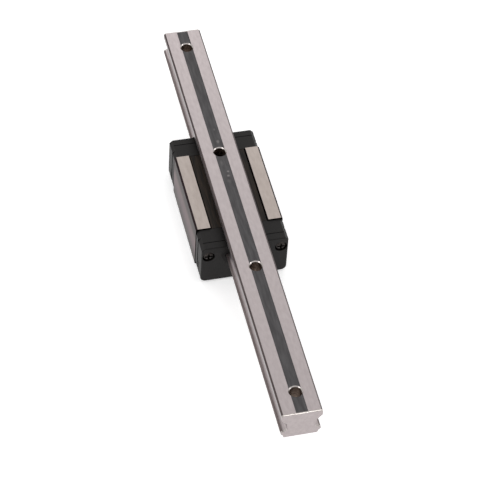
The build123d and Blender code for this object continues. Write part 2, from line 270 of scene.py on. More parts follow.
# Cold drawing and hardening leave a dull slate skin, half metal and half scale
relief_skin = plain_steel("drawn steel skin", "#413F40", "#514F50", 0.62, (1.2, 8.0, 1.2), 0.55)
# Drawn flanks: a brownish grey sheen, drawn out along the bar
drawn_flank = plain_steel("drawn steel flank", "#655B5A", "#786E6D", 0.5, DRAWN_PATCH)
# The chamfers along the rail's top edges are darker than the faces beside them, and read as a thin
# dark line
rail_edge_line = plain_steel("darker steel edge", "#4A4242", "#5B5251", 0.5, DRAWN_PATCH)
# The carriage's long outer chamfers are darker still: the darkest line on the steel
dark_edge = plain_steel("darkest carriage edge", "#241B1D", "#312628", 0.6, DRAWN_PATCH)
# Drilled walls: oily brown, with paler patches of painted light, for the light from below in their
# tool marks
bored_steel = plain_steel("drilled steel", "#66564C", "#928377", 0.45, (0.8, 0.8, 0.8))
# A countersink or an edge cut last is the brightest thing on the bar
cut_rim = plain_steel("freshly cut steel edge", "#A8A19E", "#B5AFAC", 0.18, (1.0, 1.0, 1.0))
# Black oxide: near black, with a dull glint on the rims
screw_steel = plain_steel("black oxide screw steel", "#2B2827", "#45413F", 0.3, (0.5, 0.5, 0.5))
# Cold rolled strip: an even light grey
strip_steel = plain_steel("rolled strip steel", "#9A9694", "#A8A4A2", 0.35, (1.0, 10.0, 1.0))
# Lapped bearing balls: almost a mirror
ball_steel = plain_steel("polished ball steel", "#CFCDCB", "#D6D4D2", 0.08, (3.0, 3.0, 3.0))
print("finishes so far", len(bpy.data.materials))

# %% [markdown]
# ## Scuffs
# The dark strip in the rail's top has small pale scuffs, most of them near one screw hole. Noise
# alone would scatter them evenly. A short list gives each one its place, size and strength, and
# noise tears its outline.

# %% Scuffs on the drawn skin
SCUFFS = (  # place across and along the rail and reach both ways, in mm, and strength
    (0.75, 19.2, 0.6, 0.6, 1.0), (0.4, 16.9, 0.7, 0.7, 1.0), (0.5, 35.5, 0.8, 1.1, 0.7),
    (0.5, 42.2, 0.7, 0.8, 0.3), (-0.7, 24.0, 0.7, 1.8, 0.25), (0.2, 14.0, 1.2, 1.4, 0.2),
)
SCUFF_TEAR = (0.8, 1.2, 0.8)
TEAR_DETAIL = 4.0
SCUFF_FADE = (0.6, 1.5)         # starts and ends to fade here: distance in reaches, plus noise
SCUFF_TONE = linear("#85807F")  # bare steel shows through the skin
tree = relief_skin.node_tree
shader = tree.nodes["Principled BSDF"]
skin = shader.inputs["Base Color"].links[0].from_socket
ragged = stretched_noise(tree, SCUFF_TEAR, TEAR_DETAIL)
place = node(tree, "ShaderNodeTexCoord")
for x, y, wide, long, strength in SCUFFS:
    centred = node(tree, "ShaderNodeMapping", Vector=place.outputs["Object"],
                   Location=(-x / wide, -y / long, 0), Scale=(1 / (wide * MM), 1 / (long * MM), 0))
    away = node(tree, "ShaderNodeVectorMath", {"operation": "LENGTH"}, _0=centred)
    torn = node(tree, MATH, PLUS, _0=away.outputs["Value"], _1=ragged)
    cover = node(tree, "ShaderNodeMapRange", Value=torn, From_Min=SCUFF_FADE[0],
                 From_Max=SCUFF_FADE[1], To_Min=strength, To_Max=0.0)
    rubbed = node(tree, "ShaderNodeMix", {"data_type": "RGBA"}, _0=cover, _6=skin, _7=SCUFF_TONE)
    skin = rubbed.outputs[2]
tree.links.new(skin, shader.inputs["Base Color"])
print("scuffs", len(SCUFFS))


# %% [markdown]
# ## Moulded finishes
# The end caps and seal frames are black glass-filled polyamide, spark-textured in the mould: a fine
# grain that scatters light, darker in its dimples. The lips are nitrile rubber, softer and duller.
# The grain could be real geometry, but at a tenth of a millimetre a bump gives the same look.

# %% Moulded plastic and rubber
MOULD_DEPTH = 0.05
MOULD_DETAIL = 4.0
PLASTIC_IOR = 1.5
FINE_GRAIN = (0.5, 0.5, 0.5)  # real dimples are 0.1 mm wide: drawn wider, to show


def moulded(name, dark, light, roughness, grain_mm, bump, gloss):
    """Plastic or rubber in two tones, with a grain of grain_mm and a bump of the given strength."""
    material, tree, shader = empty_finish(name, Roughness=roughness, IOR=PLASTIC_IOR,
                                          Specular_IOR_Level=gloss)
    grain = stretched_noise(tree, grain_mm, MOULD_DETAIL)
    colour_and_relief(tree, shader, two_tones(tree, grain, dark, light), grain, bump, MOULD_DEPTH)
    return material


# Spark-textured polyamide: a soft charcoal sheen that never quite turns black
cap_plastic = moulded("black moulded polyamide", "#0E0C0B", "#171413", 0.5, FINE_GRAIN, 0.25, 0.21)
# The V where two pieces meet: greasy dirt, and painted shade for the gap, near black and matt
joint_grime_and_shade = moulded("grime in a joint", "#040303", "#070606", 0.9, FINE_GRAIN, 0.1, 0.0)
# Acetal slides well: smoother, and a little glossier
guide_plastic = moulded("black acetal", "#1A1A1A", "#222222", 0.4, (0.8, 0.8, 0.8), 0.1, 0.4)
# Nitrile lips: dull, with no sparkle
seal_rubber = moulded("black nitrile rubber", "#0D0B0A", "#141110", 0.68, (0.6, 0.6, 0.6), 0.2, 0.2)
# The long seals are extruded, so brown-black streaks of grease and wear run along them
seal_strip = moulded("extruded black elastomer", "#0C0A09", "#30261E", 0.6, (0.5, 9.0, 0.5), 0.3,
                     0.19)
print("finishes in all", len(bpy.data.materials))


# %% [markdown]
# ## Joints between pieces
# Where the black mouldings meet each other or the block, the real gap is too thin to draw, yet it
# shows as a dark line. Black paint along one edge would show from one side only. So both edges of a
# joint are cut away as the sides of a small V, and its walls take a near-black matt finish: greasy
# dirt, and painted shade for the dark gap.

# %% Cut one side of a V along a joint
SMOOTH_ANGLE = math.radians(28)  # a sharper edge than this is seen as an edge
BLOCK_JOINT = 0.8                # mm, beside the block on the carriage's sides
SIDE_JOINT = 0.5                 # mm, elsewhere on the sides and beside the ground strips
TOP_JOINT = 0.14                 # mm, at the top and bottom, where one looks into the V
JOINT_WIDTHS = (BLOCK_JOINT, SIDE_JOINT, TOP_JOINT)


def cut_joints(work, joint, grime_and_shade):
    """Bevel each sharp edge that joint gives a width; the cut takes finish number grime_and_shade,
    for greasy dirt and painted shade.
    """
    for width in JOINT_WIDTHS:
        sides = [
            edge for edge in work.edges
            if edge.is_convex and edge.calc_face_angle() > SMOOTH_ANGLE
            and joint(*(corner.co / MM for corner in edge.verts)) == width
        ]
        bmesh.ops.bevel(work, geom=sides, offset=width * MM, offset_type="OFFSET", segments=1,
                        profile=0.5, affect="EDGES", clamp_overlap=False, material=grime_and_shade)
        print("  joint", width, "mm wide along edges:", len(sides))


# %% [markdown]
# ## Broken edges
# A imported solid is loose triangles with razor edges. On the real guide every edge is broken, and a
# thin bright line runs along it. Bevels in the CAD would cost thousands of faces. Here each visible
# piece is welded, gets its finishes by place and takes a narrow bevel. The last modifier keeps flat
# faces evenly lit beside their rounded edges.

# %% Weld, finish by place and soften a mesh
FLAT_ANGLE = math.radians(0.4)  # faces that differ by less are made one
WELD = 0.0005 * MM
BEVEL_STEPS = 2


def soften(piece, materials, pick=None, bevel_mm=0.12, joint=None):
    """Clean a piece's mesh, give its faces their finishes and round its edges.

    pick chooses a face's finish from its middle in mm and its normal. joint says of a sharp edge,
    from its two ends in mm, how wide it is cut as one side of a V.
    """
    mesh = piece.data
    mesh.materials.clear()
    for material in materials:
        mesh.materials.append(material)
    work = bmesh.new()
    work.from_mesh(mesh)
    bmesh.ops.remove_doubles(work, verts=work.verts, dist=WELD)
    for face in work.faces:
        face.smooth = True
        finish = pick(face.calc_center_median() / MM, face.normal) if pick else materials[0]
        face.material_index = materials.index(finish)
    bmesh.ops.dissolve_limit(work, angle_limit=FLAT_ANGLE, verts=work.verts, edges=work.edges,
                             delimit={"MATERIAL"})
    if joint:
        cut_joints(work, joint, materials.index(joint_grime_and_shade))
    for edge in work.edges:
        edge.smooth = len(edge.link_faces) == 2 and edge.calc_face_angle() < SMOOTH_ANGLE
    work.to_mesh(mesh)
    work.free()
    packed_normals = mesh.attributes.get("custom_normal")
    if packed_normals is not None:
        mesh.attributes.remove(packed_normals)
    cut = piece.modifiers.new("broken edges", "BEVEL")
    cut.width = bevel_mm * MM
    cut.segments = BEVEL_STEPS
    cut.limit_method = "ANGLE"
    cut.angle_limit = SMOOTH_ANGLE
    cut.harden_normals = True
    flats = piece.modifiers.new("flat faces shade flat", "WEIGHTED_NORMAL")
    flats.mode = "FACE_AREA"
    flats.keep_sharp = True
    print(piece.name, "softened, faces", len(mesh.polygons))


# %% A softened copy of a CAD node
def dressed(name, slot, materials, **ways):
    """A welded, bevelled copy that stands for a node of the carriage."""
    piece = bpy.data.objects.new(name + "_dressed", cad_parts[name].data.copy())
    scene.collection.objects.link(piece)
    soften(piece, materials, **ways)
    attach(piece, "carriage")
    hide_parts(name)


# %% [markdown]
# ## Geometry Nodes trees
# Three things here follow a rule: the rail is one section pulled along a line with holes at an even
# pitch, the end screws are one screw at four places, and the balls are one ball repeated round a
# closed track. Geometry Nodes suit that, because the rule stays readable and each size is a named
# input. A tree is run once, and its result becomes a plain mesh.

# %% Make a tree with named inputs, and run it
def sized_tree(name, **sizes):
    """An empty tree whose inputs are named sizes. Gives the tree and its input sockets."""
    tree = bpy.data.node_groups.new(name, "GeometryNodeTree")
    for way in ("INPUT", "OUTPUT"):
        tree.interface.new_socket("Geometry", in_out=way, socket_type="NodeSocketGeometry")
    for label, kind in sizes.items():
        tree.interface.new_socket(label.replace("_", " "), in_out="INPUT",
                                  socket_type="NodeSocket" + kind)
    return tree, tree.nodes.new("NodeGroupInput").outputs


def end_tree(tree, result, material):
    """Close a tree: real copies for the instances, then the material."""
    print(tree.name, "nodes", len(tree.nodes))
    real = node(tree, "GeometryNodeRealizeInstances", Geometry=result)
    painted = node(tree, "GeometryNodeSetMaterial", Geometry=real, Material=material)
    node(tree, "NodeGroupOutput", Geometry=painted)


def grown(name, tree, sizes, start=None):
    """Run a tree on a start mesh with the given sizes, and keep the result as a plain mesh."""
    piece = bpy.data.objects.new(name, start or bpy.data.meshes.new(name))
    modifier = piece.modifiers.new(tree.name, "NODES")
    modifier.node_group = tree
    for item in tree.interface.items_tree:
        if item.in_out == "INPUT" and item.name in sizes:
            modifier[item.identifier] = sizes[item.name]
    scene.collection.objects.link(piece)
    evaluated = piece.evaluated_get(bpy.context.evaluated_depsgraph_get())
    plain = bpy.data.meshes.new_from_object(evaluated)
    piece.modifiers.remove(modifier)
    piece.data = plain
    print(name, "faces", len(plain.polygons))
    return piece


# %% [markdown]
# ## The rail
# The rail is a drawn bar, hardened and ground. Its section has a wide base, a waist, a nose and a
# head, with two ball grooves ground into each side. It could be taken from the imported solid, but
# the grooves are coarse there. It is drawn once more as a closed line, with arcs from the groove
# circles. Sizes are in mm, and heights are above the carriage's mounting face.

# %% Sizes of the rail's section
RAIL_HALF = 7.5     # half the rail's width
RAIL_TOP = 24.0     # the rail's mounting face
HEAD_FACE = 11.5    # the head, which is the rail's lower side here
BASE_SIDE = 2.3     # the upright side below the mounting face
BASE_CHAMFER = 0.6
FLANK_HEIGHT = 2.7  # the slope from that side in to the waist
WAIST_INSET = 2.2
WAIST_DEPTH = 4.4   # where the waist ends, measured from the head
NOSE_DEPTH = 2.5
NOSE_LAND = 0.2
NOSE_ROUND = 0.35
HEAD_INSET = 1.1
HEAD_ROUND = 0.9
RELIEF_HALF = 2.2   # the dark strip between the two ground ones
RELIEF_DEPTH = 0.12
GROOVE_RADIUS = 1.6975
# The middles of the ball grooves, across and up
UPPER_ROW, LOWER_ROW = (8.06, 11.93), (6.75, 16.45)
ARC_STEPS = 14
CORNER_STEPS = 5


# %% Corners and runs of the section
def eased(before, corner, after, reach):
    """Points on a curve that leaves one run and joins the next, each reach mm from the corner."""
    before, corner, after = Vector(before), Vector(corner), Vector(after)
    start = corner + (before - corner).normalized() * reach
    stop = corner + (after - corner).normalized() * reach
    shares = [step / CORNER_STEPS for step in range(CORNER_STEPS + 1)]
    return [tuple(start.lerp(corner, t).lerp(corner.lerp(stop, t), t)) for t in shares]


flank_top = RAIL_TOP - BASE_SIDE
waist = RAIL_HALF - WAIST_INSET
waist_end = (waist, HEAD_FACE + WAIST_DEPTH)
nose = (RAIL_HALF, HEAD_FACE + NOSE_DEPTH + NOSE_LAND / 2)
head_corner = (RAIL_HALF - HEAD_INSET, HEAD_FACE)
drawn_half = [
    (RELIEF_HALF, RAIL_TOP - RELIEF_DEPTH),
    (RELIEF_HALF, RAIL_TOP),
    (RAIL_HALF - BASE_CHAMFER, RAIL_TOP),
    (RAIL_HALF, RAIL_TOP - BASE_CHAMFER),
    (RAIL_HALF, flank_top),
    (waist, flank_top - FLANK_HEIGHT),
    waist_end,
    *eased(waist_end, nose, head_corner, NOSE_ROUND),
    *eased(nose, head_corner, (0, HEAD_FACE), HEAD_ROUND),
]
print("points before grinding", len(drawn_half))


# %% Grind the grooves into the section
def crossings(start, stop, middle, radius):
    """Where a straight run crosses a circle, as shares of the run between 0 and 1."""
    run = Vector(stop) - Vector(start)
    away = Vector(start) - Vector(middle)
    a, b, c = run.dot(run), 2 * run.dot(away), away.dot(away) - radius * radius
    root = b * b - 4 * a * c
    if root <= 0:
        return []
    shares = [(-b - math.sqrt(root)) / (2 * a), (-b + math.sqrt(root)) / (2 * a)]
    return [share for share in shares if 0 < share < 1]


def grind(line, middle, radius):
    """Cut a round groove into an open line, which goes down the right side of the section."""
    ground, entry = [], None
    for start, stop in zip(line, line[1:]):
        if (Vector(start) - Vector(middle)).length > radius:
            ground.append(start)
        for share in crossings(start, stop, middle, radius):
            cross = Vector(start).lerp(Vector(stop), share)
            angle = math.atan2(cross.y - middle[1], cross.x - middle[0]) % (2 * math.pi)
            if entry is None:
                entry = angle
                continue
            for step in range(ARC_STEPS + 1):
                turn = entry + (angle - entry) * step / ARC_STEPS
                ground.append((middle[0] + radius * math.cos(turn),
                               middle[1] + radius * math.sin(turn)))
            entry = None
    return ground + [line[-1]]


half = grind(grind(drawn_half, LOWER_ROW, GROOVE_RADIUS), UPPER_ROW, GROOVE_RADIUS)
section = half + [(-x, z) for x, z in reversed(half)]
section_middle = (RAIL_TOP + HEAD_FACE) / 2
section_mesh = bpy.data.meshes.new("rail section")
loop = [(index, (index + 1) % len(section)) for index in range(len(section))]
section_mesh.from_pydata([(x * MM, (section_middle - z) * MM, 0) for x, z in section], loop, [])
print("section points", len(section))

# %% [markdown]
# ## The bar and its ends
# The bar is sawn to length and its ends are dressed, so the top slopes down a little there. A bevel
# of that size would round the ball grooves too. The tree pulls the section along the rail, and then
# pulls both end faces out twice, each time a little lower.

# %% Pull the section along the rail
tree, size = sized_tree(
    "bar with screw holes", Length="Float", Top="Float", Foot="Float", Relief_depth="Float",
    Slope_length="Float", Slope_scale="Float", Nose_length="Float", Nose_scale="Float",
    Hole_pitch="Float", Hole_count="Int", Bore_radius="Float", Counterbore_radius="Float",
    Counterbore_depth="Float", Rim="Float",
)
half_length = node(tree, MATH, TIMES, _0=size["Length"], _1=0.5)
end_length = node(tree, MATH, PLUS, _0=size["Slope length"], _1=size["Nose length"])
far_end = node(tree, MATH, MINUS, _0=half_length, _1=end_length)
near_end = node(tree, MATH, TIMES, _0=far_end, _1=-1.0)
both_faces = node(tree, MATH, PLUS, _0=size["Top"], _1=size["Foot"])
middle_z = node(tree, MATH, TIMES, _0=both_faces, _1=0.5)
near_point = node(tree, POINT, Y=near_end, Z=middle_z)
far_point = node(tree, POINT, Y=far_end, Z=middle_z)
path = node(tree, "GeometryNodeCurvePrimitiveLine", Start=near_point, End=far_point)
outline = node(tree, "GeometryNodeMeshToCurve", Mesh=size["Geometry"])
bar = node(tree, "GeometryNodeCurveToMesh", Curve=path, Profile_Curve=outline, Fill_Caps=True)

# %% Slope and round both ends
FACING = 0.9  # a face looks along an axis if its normal has at least this share of it

facing = node(tree, "ShaderNodeSeparateXYZ", Vector=node(tree, "GeometryNodeInputNormal"))
along = node(tree, MATH, {"operation": "ABSOLUTE"}, _0=facing.outputs["Y"])
is_end = node(tree, MATH, {"operation": "GREATER_THAN"}, _0=along, _1=FACING)
spot = node(tree, "ShaderNodeSeparateXYZ", Vector=node(tree, "GeometryNodeInputPosition"))
centre = node(tree, POINT, Y=spot.outputs["Y"], Z=size["Foot"])
solid, face = bar, is_end
for run in ("Slope", "Nose"):
    pulled = node(tree, "GeometryNodeExtrudeMesh", Mesh=solid, Selection=face,
                  Offset_Scale=size[run + " length"], Individual=False)
    tapered = node(tree, "GeometryNodeScaleElements", {"scale_mode": "SINGLE_AXIS"},
                   Geometry=pulled, Selection=pulled.outputs["Top"], Scale=size[run + " scale"],
                   Center=centre, Axis=(0, 0, 1))
    solid, face = tapered, pulled.outputs["Top"]

# %% [markdown]
# ## The screw holes
# Each hole is a bore, a counterbore for the screw's head on the other side and a countersunk rim.
# Drawn into the mesh by hand, the holes would be fixed in number. Here three cutters are copied to
# points at the hole pitch and taken out of the bar.

# %% Three cutters for one screw hole
HOLE_SIDES = 64
CLEAR = 1.0 * MM  # how far a cutter goes on past the faces that it opens

height = node(tree, MATH, MINUS, _0=size["Top"], _1=size["Foot"])
bore_length = node(tree, MATH, PLUS, _0=height, _1=2 * CLEAR)
wide_length = node(tree, MATH, TIMES, _0=size["Counterbore depth"], _1=2.0)
rim_radius = node(tree, MATH, PLUS, _0=size["Bore radius"], _1=size["Rim"])
rim_wide = node(tree, MATH, PLUS, _0=rim_radius, _1=CLEAR)
rim_length = node(tree, MATH, PLUS, _0=size["Rim"], _1=CLEAR)
rim_foot = node(tree, MATH, MINUS, _0=size["Top"], _1=size["Rim"])
rim_z = node(tree, MATH, MINUS, _0=rim_foot, _1=size["Relief depth"])
bore = node(tree, "GeometryNodeMeshCylinder", Vertices=HOLE_SIDES, Radius=size["Bore radius"],
            Depth=bore_length)
counterbore = node(tree, "GeometryNodeMeshCylinder", Vertices=HOLE_SIDES,
                   Radius=size["Counterbore radius"], Depth=wide_length)
rim = node(tree, "GeometryNodeMeshCone", Vertices=HOLE_SIDES, Radius_Top=rim_wide,
           Radius_Bottom=size["Bore radius"], Depth=rim_length)
cutters = ((bore, middle_z), (counterbore, size["Foot"]), (rim, rim_z))

# %% Cut the holes at an even pitch
gaps = node(tree, MATH, MINUS, _0=size["Hole count"], _1=1.0)
span = node(tree, MATH, TIMES, _0=gaps, _1=size["Hole pitch"])
first_y = node(tree, MATH, TIMES, _0=span, _1=-0.5)
first = node(tree, POINT, Y=first_y)
pitch = node(tree, POINT, Y=size["Hole pitch"])
places = node(tree, "GeometryNodeMeshLine", Count=size["Hole count"], Start_Location=first,
              Offset=pitch)
for cutter, cutter_z in cutters:
    lift = node(tree, POINT, Z=cutter_z)
    raised = node(tree, MOVE, Geometry=cutter, Translation=lift)
    copies = node(tree, "GeometryNodeInstanceOnPoints", Points=places, Instance=raised)
    real_copies = node(tree, "GeometryNodeRealizeInstances", Geometry=copies)
    solid = node(tree, "GeometryNodeMeshBoolean", {"operation": "DIFFERENCE", "solver": "EXACT"},
                 Mesh_1=solid, Mesh_2=real_copies)
end_tree(tree, solid, rail_ground)

# %% The rail at its real sizes
RAIL_LENGTH = 200.0
SLOPE_LENGTH, SLOPE_SCALE = 0.55, 0.983  # the scale is what is left of the rail's height
NOSE_LENGTH, NOSE_SCALE = 0.12, 0.985
HOLE_PITCH, HOLE_COUNT = 60.0, 4
BORE_RADIUS = 2.25
COUNTERBORE_RADIUS, COUNTERBORE_DEPTH = 3.75, 5.3
HOLE_RIM = 0.35
rail_sizes = {
    "Length": RAIL_LENGTH * MM, "Top": RAIL_TOP * MM, "Foot": HEAD_FACE * MM,
    "Relief depth": RELIEF_DEPTH * MM,
    "Slope length": SLOPE_LENGTH * MM, "Slope scale": SLOPE_SCALE,
    "Nose length": NOSE_LENGTH * MM, "Nose scale": NOSE_SCALE,
    "Hole pitch": HOLE_PITCH * MM, "Hole count": HOLE_COUNT,
    "Bore radius": BORE_RADIUS * MM, "Rim": HOLE_RIM * MM,
    "Counterbore radius": COUNTERBORE_RADIUS * MM, "Counterbore depth": COUNTERBORE_DEPTH * MM,
}
rail = grown("rail_ground", tree, rail_sizes, section_mesh)
print("rail spans in mm", [round(v / MM, 2) for v in (*rail.bound_box[0], *rail.bound_box[6])])


# %% [markdown]
# ## Which part of the rail is ground
# Only the top, the sides and the grooves meet the grinding wheel. The waist stays drawn, the holes
# are drilled and the end edges and hole rims are cut last. Faces painted by hand would go wrong at
# every change of size, so each takes its finish from where it lies and which way it looks. The
# groove by the head is hidden under the nose, and shares the finish of the flanks round it.

# %% The rail's finishes by place
SLANTED = 0.5  # shares of a normal, as FACING is: a chamfer's face has more than this of X
RISING = 0.3   # a face at the rail's end belongs to its upper edge
UPRIGHT = 0.1  # a flank or the waist, not the level faces
TOUCH = 0.1    # mm by which a face's middle may miss the place that it is meant to have
FINE_TOUCH = 0.02


def rail_finish(middle, normal):
    """The finish of a face of the rail, from its middle in mm and its normal."""
    deep = RAIL_TOP - middle.z
    past_hole = (middle.y + HOLE_PITCH / 2) % HOLE_PITCH
    from_hole = math.hypot(middle.x, min(past_hole, HOLE_PITCH - past_hole))
    from_groove = math.hypot(abs(middle.x) - LOWER_ROW[0], middle.z - LOWER_ROW[1])
    rim_end = RELIEF_DEPTH + HOLE_RIM
    if abs(middle.y) > RAIL_LENGTH / 2 - SLOPE_LENGTH - NOSE_LENGTH:
        return cut_rim if normal.z > RISING else rail_ground
    if from_groove < GROOVE_RADIUS + FINE_TOUCH:
        return rail_ground
    if from_hole < BORE_RADIUS + HOLE_RIM and RELIEF_DEPTH + FINE_TOUCH < deep < rim_end:
        return cut_rim
    if from_hole < COUNTERBORE_RADIUS + TOUCH and rim_end < deep < RAIL_TOP - HEAD_FACE - TOUCH:
        return bored_steel
    if normal.z > FACING and abs(middle.x) < RELIEF_HALF and deep > RELIEF_DEPTH / 2:
        return relief_skin
    if middle.z < flank_top and abs(normal.x) > UPRIGHT:
        return drawn_flank
    if middle.z > RAIL_TOP - BASE_CHAMFER and SLANTED < abs(normal.x) < FACING:
        return rail_edge_line
    return rail_side if abs(normal.x) > FACING else rail_ground


soften(rail, [rail_ground, relief_skin, drawn_flank, bored_steel, cut_rim, rail_edge_line, rail_side],
       pick=rail_finish, bevel_mm=0.1)
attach(rail, "rail")
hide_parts("rail")

# %% [markdown]
# ## The carriage
# The body between the black ends has bright ground strips beside the rail, and milled sides painted
# darker as painted shade. It could be drawn again as the rail is, but the imported solid has the
# right shape. It is only dressed, and each face takes its finish from the way it looks. The end faces
# and the walls in a joint with the black pieces are painted as dark as the joint: painted shade for
# the gap.

# %% The block between the black ends
STRIP_INNER = 11.3    # mm from the middle to the ground strips' inner walls
CHAMFER_START = 12.5  # mm: the chamfers further out than this are the block's outer edges


def block_finish(middle, normal):
    """The finish of a face of the carriage's block, from its middle in mm and its normal."""
    # End faces and the strips' inner walls: the near-black joint finish, as painted shade of the gap
    if abs(normal.y) > FACING:
        return joint_grime_and_shade
    if abs(normal.x) > FACING:
        return joint_grime_and_shade if abs(abs(middle.x) - STRIP_INNER) < TOUCH else block_side
    chamfer = abs(normal.x) > SLANTED and abs(middle.x) > CHAMFER_START
    return dark_edge if chamfer else block_ground


dressed("carriage_block", "block_steel", [block_ground, block_side, dark_edge, joint_grime_and_shade],
        pick=block_finish)

# %% [markdown]
# ## Caps, seal frames and lips
# Each end is a thick cap that turns the balls round, a thinner frame with side wings and a soft lip
# that follows the rail. The joints between them could be listed edge by edge. But every edge across
# the guide lies at a known distance from the block, and that tells whether it is part of a joint.

# %% Where the mouldings meet
CAP_SIDE = 16.3                # mm: edges further out than this are on the carriage's sides
CAP_LOW, CAP_HIGH = 1.0, 17.5  # mm: lower or higher than these, on its other two faces
WING_START = 3.5               # distances from the block, in mm
LUG_START, LUG_STOP = 4.5, 6.3
FRAME_FRONT = 9.5
block_low, block_high = (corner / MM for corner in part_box("carriage_block"))


def meets_neighbour(one, two):
    """The width of the V on an outer edge across the guide, or 0 away from a joint."""
    out, out_two = (max(end.y - block_high.y, block_low.y - end.y) for end in (one, two))
    if abs(out - out_two) > FINE_TOUCH or TOUCH < out < WING_START or out > FRAME_FRONT:
        return 0
    if min(abs(one.x), abs(two.x)) > CAP_SIDE:
        if out < TOUCH:
            return BLOCK_JOINT
        return TOP_JOINT if LUG_START < out < LUG_STOP else SIDE_JOINT
    return TOP_JOINT if max(one.z, two.z) < CAP_LOW or min(one.z, two.z) > CAP_HIGH else 0


ENDS = ("near", "far")
SIDES = ("left", "right")
for end in ENDS:
    for moulding in ("end_cap", "end_seal_frame"):
        dressed(f"{moulding}_{end}", "black_plastic", [cap_plastic, joint_grime_and_shade], bevel_mm=0.2,
                joint=meets_neighbour)
    dressed(f"end_seal_lip_{end}", "seal_rubber", [seal_rubber], bevel_mm=0.1)

# %% [markdown]
# ## Long seals, inner strips and plug
# Two extruded seals fill the space between the ground strips and the rail. Sheet steel strips hold
# the balls behind them, and a grub screw closes the far grease port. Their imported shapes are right,
# so they only get finer edges than the large pieces.

# %% Long seals, inner strips and plug
STRIP_EDGE = STRIP_INNER - 0.05  # mm from the middle, just short of the strips' inner walls


def beside_strip(one, two):
    """The width of the V between a long seal and the ground strip beside it."""
    beside = min(abs(one.x), abs(two.x)) > STRIP_EDGE
    return SIDE_JOINT if beside and min(one.z, two.z) > CAP_HIGH else 0


for side in SIDES:
    dressed(f"bottom_seal_{side}", "black_plastic", [seal_strip, joint_grime_and_shade], bevel_mm=0.08,
            joint=beside_strip)
    dressed(f"side_retainer_{side}", "strip_steel", [strip_steel], bevel_mm=0.03)
dressed("lubrication_plug", "screw_steel", [screw_steel], bevel_mm=0.1)

# %% [markdown]
# ## The end screws
# Two small cross-recess screws hold each black end to the block, with a low dome on a short rim for
# a head. One could be modelled and copied by hand. The tree domes a disc in rings, joins the shank,
# cuts the cross and puts the screw at four places, turned outwards, so that one change to a size
# changes all four.

# %% The head: a rim and a dome in rings
tree, size = sized_tree(
    "cross recess screws", Head_radius="Float", Head_height="Float", Shank_radius="Float",
    Shank_length="Float", Cross_span="Float", Cross_width="Float", Cross_depth="Float",
    Span_X="Float", Span_Y="Float", Middle="Vector",
)
HEAD_SIDES = 48
DOME_RINGS = 5
RIM_SHARE = 0.45              # of the head's height
DOME_TURN = math.radians(55)  # how far the dome curves over before its top is cut off flat
SHANK_OVERLAP = 0.2 * MM      # the shank starts this far inside the head

rim_height = node(tree, MATH, TIMES, _0=size["Head height"], _1=RIM_SHARE)
rim_middle = node(tree, MATH, TIMES, _0=rim_height, _1=0.5)
rim_place = node(tree, POINT, Z=rim_middle)
head = node(tree, "GeometryNodeMeshCylinder", Vertices=HEAD_SIDES, Radius=size["Head radius"],
            Depth=rim_height)
head_up = node(tree, MOVE, Geometry=head, Translation=rim_place)
domed, top = head_up, head.outputs["Top"]
for ring in range(DOME_RINGS):
    before, after = (DOME_TURN * (ring + more) / DOME_RINGS for more in (0, 1))
    tall = (1 - RIM_SHARE) * (math.sin(after) - math.sin(before)) / math.sin(DOME_TURN)
    rise = node(tree, MATH, TIMES, _0=size["Head height"], _1=tall)
    pulled = node(tree, "GeometryNodeExtrudeMesh", Mesh=domed, Selection=top, Offset_Scale=rise)
    drawn_in = node(tree, "GeometryNodeScaleElements", Geometry=pulled,
                    Selection=pulled.outputs["Top"], Scale=math.cos(after) / math.cos(before))
    domed, top = drawn_in, pulled.outputs["Top"]

# %% The shank and the cross
shank_half = node(tree, MATH, TIMES, _0=size["Shank length"], _1=-0.5)
shank_z = node(tree, MATH, PLUS, _0=shank_half, _1=SHANK_OVERLAP)
shank_place = node(tree, POINT, Z=shank_z)
shank = node(tree, "GeometryNodeMeshCylinder", Vertices=HEAD_SIDES, Radius=size["Shank radius"],
             Depth=size["Shank length"])
shank_set = node(tree, MOVE, Geometry=shank, Translation=shank_place)
whole = node(tree, "GeometryNodeMeshBoolean", {"operation": "UNION", "solver": "EXACT"},
             Mesh_2=[domed, shank_set])

cross_high = node(tree, MATH, TIMES, _0=size["Cross depth"], _1=2.0)
cross_place = node(tree, POINT, Z=size["Head height"])
arms = []
for wide, long in (("Cross span", "Cross width"), ("Cross width", "Cross span")):
    arm_size = node(tree, POINT, X=size[wide], Y=size[long], Z=cross_high)
    arm = node(tree, "GeometryNodeMeshCube", Size=arm_size)
    arms.append(node(tree, MOVE, Geometry=arm, Translation=cross_place))
crossed = node(tree, "GeometryNodeMeshBoolean", {"operation": "DIFFERENCE", "solver": "EXACT"},
               Mesh_1=whole, Mesh_2=arms)

# %% Four places, turned outwards
corners = node(tree, "GeometryNodeMeshGrid", Size_X=size["Span X"], Size_Y=size["Span Y"],
               Vertices_X=2, Vertices_Y=2)
spot = node(tree, "ShaderNodeSeparateXYZ", Vector=node(tree, "GeometryNodeInputPosition"))
outwards = node(tree, POINT, Y=spot.outputs["Y"])
turned = node(tree, "FunctionNodeAlignRotationToVector", {"axis": "Z"}, Vector=outwards)
four = node(tree, "GeometryNodeInstanceOnPoints", Points=corners, Instance=crossed, Rotation=turned)
moved = node(tree, MOVE, Geometry=four, Translation=size["Middle"])
end_tree(tree, moved, screw_steel)

